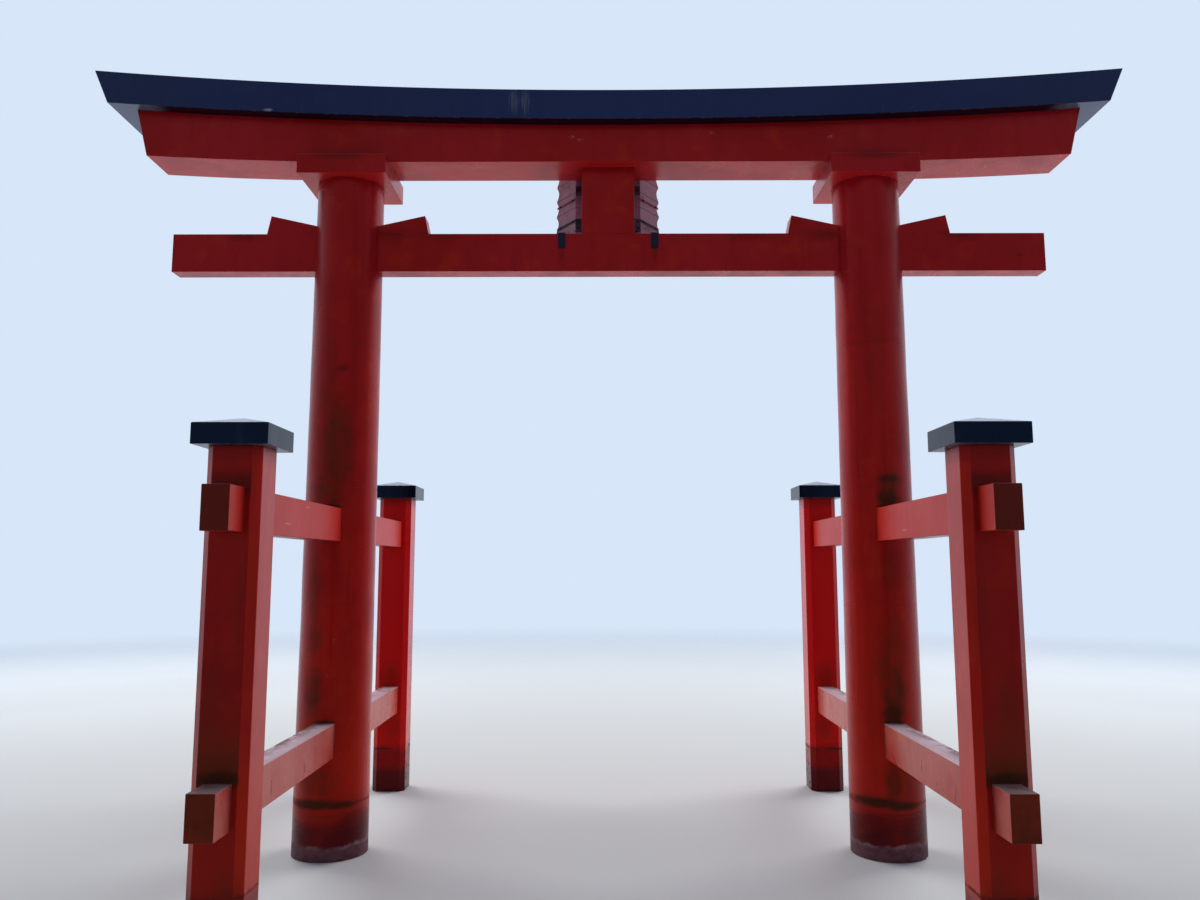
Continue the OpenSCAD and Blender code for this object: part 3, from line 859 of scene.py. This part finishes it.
coat = vermilion("capital_paint", 0.3, 0.9)
film = spots(coat, [(x, -capital_half_y, 7.62, 0.5, 0.07, 1) for x in (-pillar_x, pillar_x)],
             0.1, 0.9, 1.0)
coat.layer(film, shade(84, 14, 16), 0.5, 0.7)
# Painted reflection: the capitals' undersides are brighter, as if lit by glare from below.
coat.layer(coat.facing("-Z"), painted_glare_under, None, 0.45)
capital_paint = coat.finish(0.5, red_gloss)
for side, word in sides:
    x = side * pillar_x
    near_corner = (x - capital_half_x, -capital_half_y, pillar_top)
    far_corner = (x + capital_half_x, capital_half_y, capital_top)
    capital = cast_block(word + "_capital_cast", near_corner, far_corner, 0.009)
    set_up(capital, capital_paint, "vermilion_concrete", word + "_capital")


# Lintels: a red lower one and a wider black one on top of it, both of painted concrete cast in place.
# They curve up towards their tips, which are cut at a slant.
lintel_near = -0.274
coat = vermilion("lintel_paint", 0.3, 0.8)
over_capitals = spots(coat, [(x + 0.05, y, 7.67, 0.60, 0.13, 1) for x in (-pillar_x, pillar_x)
                             for y in (lintel_near, -lintel_near)], 0.1, 1.0, 0.6)
coat.layer(coat.both(over_capitals, coat.upright()), shade(58, 20, 26), 0.45, 0.75)
specks = spots(coat, [(x, lintel_near, z, 0.045, 0.03, 1) for x, z in (
    (-0.42, 7.93), (-0.32, 7.90), (1.18, 7.98), (2.55, 7.93))], 0.05, 0.5, 0.2)
specks = coat.both(specks, coat.cloud(0.018, 0.52, 0.60, (1, 1, 1.6), detail=6.0))
coat.layer(specks, shade(196, 152, 142), 0.6, 0.7, -0.6)
under = coat.facing("-Z")
# Painted reflection: the lower lintel's underside is brighter, as if lit by glare from below.
coat.layer(under, painted_glare_under, None, 0.45)
coat.layer(coat.both(under, coat.cloud(0.6, 0.46, 0.62)), shade(146, 32, 30), 0.4, 0.5)
lintel_paint = coat.finish(0.5, red_gloss)
set_up(rounded_solid("lower_lintel", 0.009, 12, 0.004), lintel_paint, "vermilion_concrete", "lower_lintel")

ridge_near = -0.41
coat = black_paint("ridge_paint")
worn = spots(coat, [(x, ridge_near, z, wide, 0.20, strength) for x, z, wide, strength in (
    (-1.07, 8.30, 0.09, 0.7), (-0.94, 8.29, 0.06, 1))], 0.1, 0.7, 0.6)
worn = coat.both(worn, coat.cloud(0.5, 0.40, 0.62, (18, 1, 0.5)))
coat.layer(worn, shade(120, 124, 134), 0.5, 0.75)
chip = coat.patch((-3.87, ridge_near, 8.2), (0.07, 0.08, 0.022), 0.5, 1.0)
coat.layer(chip, shade(150, 150, 158), 0.8, 0.8, -2.0)
reach = coat.sum("ABSOLUTE", coat.put("ShaderNodeSeparateXYZ", coat.place).outputs["X"])
# Painted reflection: the undersides at the lintel's tips are pale blue-grey, as if they mirrored the sky.
sky_sheen_under_tips = coat.both(coat.facing("-Z", 0.6, 0.9), coat.ramp(reach, 5.0, 5.25))
coat.layer(sky_sheen_under_tips, shade(104, 116, 134), 0.3, 0.8)
ridge_paint = coat.finish(0.5, (0.24, 0.33, 0.95))
set_up(rounded_solid("upper_lintel", 0.007, 12), ridge_paint, "black_concrete", "upper_lintel")


# Plaque: a bare board of four planks in a frame of four flared boards with a carved wavy edge.
# It leans to the front, and its sawn wood carries old red paint that has weathered to a dusty mauve.
plaque_lean = math.radians(12)
plaque_foot = (0, 0.142, 6.900)
plaque_frame = Matrix.Translation(plaque_foot) @ Matrix.Rotation(-plaque_lean, 4, "X")
board_half = 0.385
board_tall = 1.0
flare_out = 0.235
flare_front = 0.220
hollows = 7
hollow_pitch = (board_tall + 2 * flare_out) / hollows


def old_boards(name, grain):
    """Weathered red paint on sawn wood, in the plaque's leaning frame; grain is small along the fibres."""
    coat = Coat(name, shade(178, 130, 156), 0.5, (plaque_lean, 0, 0), plaque_foot)
    coat.layer(coat.cloud(0.4, 0.42, 0.62), shade(148, 98, 116), 0.55)
    coat.layer(coat.cloud(0.03, 0.45, 0.62, grain, detail=6.0), shade(118, 76, 90), 0.65, 0.6, -0.5)
    coat.layer(coat.cloud(0.02, 0.55, 0.66, grain, shift=2.2), shade(178, 142, 148), 0.6, 0.45)
    coat.layer(coat.facing("Y", 0.1, 0.5), shade(138, 92, 78), 0.6, 0.6)
    coat.layer(coat.cloud(0.10, 0.54, 0.66, detail=6.0), shade(158, 58, 62), 0.45, 0.5, 0.2)
    coat.layer(coat.cloud(0.2, 0.62, 0.72, detail=6.0), shade(70, 48, 62), 0.7, 0.6)
    worn = coat.both(coat.arris(), coat.cloud(0.06, 0.42, 0.58))
    coat.layer(worn, shade(140, 116, 122), 0.7, 0.6)
    coat.rise(coat.cloud(0.004, 0.3, 0.7, grain), 0.35)
    return coat


def cut_joints(board, across, places, wide, deep):
    """Cuts a V groove round a board at each place along one of the plaque's own axes."""
    along = Matrix.Rotation(-plaque_lean, 3, "X") @ Vector(across)
    bpy.ops.object.mode_set(mode="EDIT")
    for place in places:
        for off in (-wide / 2, wide / 2, 0):
            bpy.ops.mesh.select_all(action="SELECT")
            bpy.ops.mesh.bisect(plane_co=Vector(plaque_foot) + (place + off) * along, plane_no=along)
        bpy.ops.transform.shrink_fatten(value=-deep)
    bpy.ops.mesh.customdata_custom_splitnormals_clear()
    bpy.ops.object.mode_set(mode="OBJECT")
    smooth_over(board)
    return board


side_joints = [step * hollow_pitch - flare_out for step in range(1, hollows)]
coat = old_boards("side_board_wood", (12, 12, 0.7))
for middle in side_joints:
    joint = coat.band("Z", middle - 0.005, middle + 0.005, 0.004)
    coat.layer(joint, shade(78, 40, 54), 0.8, 0.65)
side_wood = coat.finish(0.4)
end_wood = old_boards("end_board_wood", (0.7, 12, 12)).finish(0.4)
for node in ("plaque_left_side", "plaque_right_side"):
    side_board = cut_joints(rounded_solid(node, 0.004, 30), (0, 0, 1), side_joints, 0.008, 0.003)
    set_up(side_board, side_wood, "plaque_wood", node)
for node in ("plaque_top", "plaque_bottom"):
    set_up(rounded_solid(node, 0.004, 30), end_wood, "plaque_wood", node)

board_joints = (-board_half / 2, 0, board_half / 2)
coat = old_boards("board_wood", (12, 12, 0.7))
for x in board_joints:
    joint = coat.band("X", x - 0.0025, x + 0.0025, 0.0015)
    coat.layer(joint, shade(30, 20, 24), 0.9, 0.9)
board_wood = coat.finish(0.4)
board = cut_joints(rounded_solid("plaque_board", 0.002, 30), (1, 0, 0), board_joints, 0.006, 0.004)
set_up(board, board_wood, "plaque_wood", "plaque_board")


def lean(piece):
    """Takes a piece from the plaque's own upright frame to its leaning place on the gate."""
    take(piece)
    piece.matrix_world = plaque_frame @ piece.matrix_world
    settle()


# Bead round the bare board: a round wooden moulding, mitred at the corners.
# It is nailed over the joint between the board and the frame boards.
bead_in = 0.018
bead_front = 0.034
board_bead = bead_outline("plaque_board_bead", 0, 0, bead_in, board_tall - bead_in, 0)
for corner in board_bead.data.vertices:
    corner.co.x *= (board_half - bead_in) / beam_half
    corner.co.y = bead_front
round_bead(board_bead, 0.010)
lean(board_bead)
set_up(board_bead, end_wood, "plaque_wood")


# Plaque irons: battens behind the board, straps hooked over the tie beam and stays at the lintel.
# They are flat bar, painted black and rusting at the edges.
def iron_paint(name, base, rust):
    """Black or red paint on flat bar, with rust breaking through."""
    coat = Coat(name, base, 0.38)
    coat.layer(coat.cloud(0.2, 0.46, 0.62), shade(30, 28, 38), 0.45, 0.6)
    coat.layer(coat.cloud(0.05, 0.56, 0.66, detail=6.0), shade(74, 34, 26), 0.8, rust, 0.3)
    coat.layer(coat.cloud(0.012, 0.60, 0.68), shade(106, 52, 32), 0.85, 0.6 * rust, 0.2)
    coat.layer(coat.both(coat.arris(), coat.cloud(0.04, 0.4, 0.6)), shade(90, 44, 34), 0.7, rust)
    coat.rise(coat.cloud(0.01, 0.3, 0.7), 0.2)
    return coat.finish(0.3, blue_gloss)


black_iron = iron_paint("black_iron_paint", shade(10, 10, 18), 0.5)
batten_iron = iron_paint("batten_paint", shade(92, 66, 92), 0.3)
for node in ("left_strap", "right_strap", "left_stay", "right_stay"):
    set_up(rounded_solid(node, 0.0015, 30), black_iron, "black_iron", node)
for node in ("plaque_upper_batten", "plaque_lower_batten"):
    set_up(rounded_solid(node, 0.0015, 30), batten_iron, "black_iron", node)

# Strips: two flat iron bars bolted across the back of each side board.
# The lower one is painted black and the upper one red.
strip_long = math.hypot(flare_out, flare_front) - 0.012
strip_half = 0.015
strip_thick = 0.004
strip_heights = (0.215, 0.510)
flare_turn = math.atan2(flare_front, flare_out)
red_iron = iron_paint("red_iron_paint", shade(150, 30, 44), 0.3)
for place, height, paint in zip(("lower", "upper"), strip_heights, (black_iron, red_iron)):
    for side, word in sides:
        near_corner, far_corner = (0, -strip_thick, -strip_half), (strip_long, 0, strip_half)
        strip = cast_block(f"plaque_{word}_{place}_strip", near_corner, far_corner, 0.001)
        turn = Matrix.Rotation(flare_turn, 4, "Z")
        strip.matrix_world = Matrix.Translation((board_half, 0, height)) @ turn
        if side < 0:
            strip.matrix_world = Matrix.Scale(-1, 4, (1, 0, 0)) @ strip.matrix_world
        lean(strip)
        if side < 0:
            bpy.ops.object.mode_set(mode="EDIT")
            bpy.ops.mesh.select_all(action="SELECT")
            bpy.ops.mesh.normals_make_consistent(inside=False)
            bpy.ops.object.mode_set(mode="OBJECT")
        set_up(strip, paint, "black_iron")


# Bolts: black-painted dome heads on round washers.
# They hold the battens, strips and straps, and the plates at the foot of the stays.
washer_radius = 0.014
washer_thick = 0.003
dome_radius = 0.009
dome_flatness = 0.75


def dome_bolt():
    """One bolt head on its washer, looking along +Z from the origin."""
    bpy.ops.object.select_all(action="DESELECT")
    bpy.ops.mesh.primitive_cylinder_add(
        vertices=24, radius=washer_radius, depth=washer_thick, location=(0, 0, washer_thick / 2))
    washer = bpy.context.object
    settle()
    round_arrises(washer, 0.0008, 40)
    bpy.ops.mesh.primitive_uv_sphere_add(
        segments=20, ring_count=10, radius=dome_radius,
        location=(0, 0, washer_thick), scale=(1, 1, dome_flatness))
    settle()
    bpy.ops.object.mode_set(mode="EDIT")
    bpy.ops.mesh.select_all(action="SELECT")
    bpy.ops.mesh.bisect(plane_co=(0, 0, washer_thick), plane_no=(0, 0, 1), use_fill=True, clear_inner=True)
    bpy.ops.object.mode_set(mode="OBJECT")
    bpy.ops.object.shade_smooth()
    washer.select_set(True)
    bpy.context.view_layer.objects.active = washer
    bpy.ops.object.join()
    washer.name = "bolt"
    return washer


def place_bolts(name, bolt, places):
    """Copies of the bolt set at each place, made one piece."""
    copies = []
    for place in places:
        one = bolt.copy()
        one.data = bolt.data.copy()
        one.matrix_world = place
        bpy.context.scene.collection.objects.link(one)
        copies.append(one)
    take(copies[0])
    for one in copies:
        one.select_set(True)
    settle()
    bpy.ops.object.join()
    copies[0].name = name
    set_up(copies[0], black_iron, "black_iron")


bolt = dome_bolt()
backward = Matrix.Rotation(math.pi / 2, 4, "X")
forward = Matrix.Rotation(-math.pi / 2, 4, "X")
batten_thick = 0.014
batten_places = [plaque_frame @ Matrix.Translation((x, -batten_thick, z)) @ backward
                 for x in (-0.355, -0.12, 0.12, 0.355) for z in (0.10, 0.19, 0.62)]
place_bolts("plaque_batten_bolts", bolt, batten_places)
strip_places = []
for height in strip_heights:
    for side in (-1, 1):
        for along in (0.05, 0.26):
            x = side * (board_half + along * math.cos(flare_turn) + strip_thick * math.sin(flare_turn))
            y = along * math.sin(flare_turn) - strip_thick * math.cos(flare_turn)
            turn = Matrix.Rotation(side * flare_turn, 4, "Z") @ backward
            strip_places.append(plaque_frame @ Matrix.Translation((x, y, height)) @ turn)
place_bolts("plaque_strip_bolts", bolt, strip_places)
strap_thick = 0.009
strap_face = -tie_half - strap_thick
strap_places = [Matrix.Translation((side * strap_x, strap_face, z)) @ backward
                for side in (-1, 1) for z in (6.70, 6.79)]
place_bolts("strap_bolts", bolt, strap_places)
stay_x, stay_z = 0.250, 7.850
plate_face = 0.286
bolt_off = 0.042
stay_places = [Matrix.Translation((side * stay_x + dx, plate_face, stay_z + dz)) @ forward
               for side in (-1, 1) for dx in (-bolt_off, bolt_off) for dz in (-bolt_off, bolt_off)]
place_bolts("stay_bolts", bolt, stay_places)
bpy.data.objects.remove(bolt)
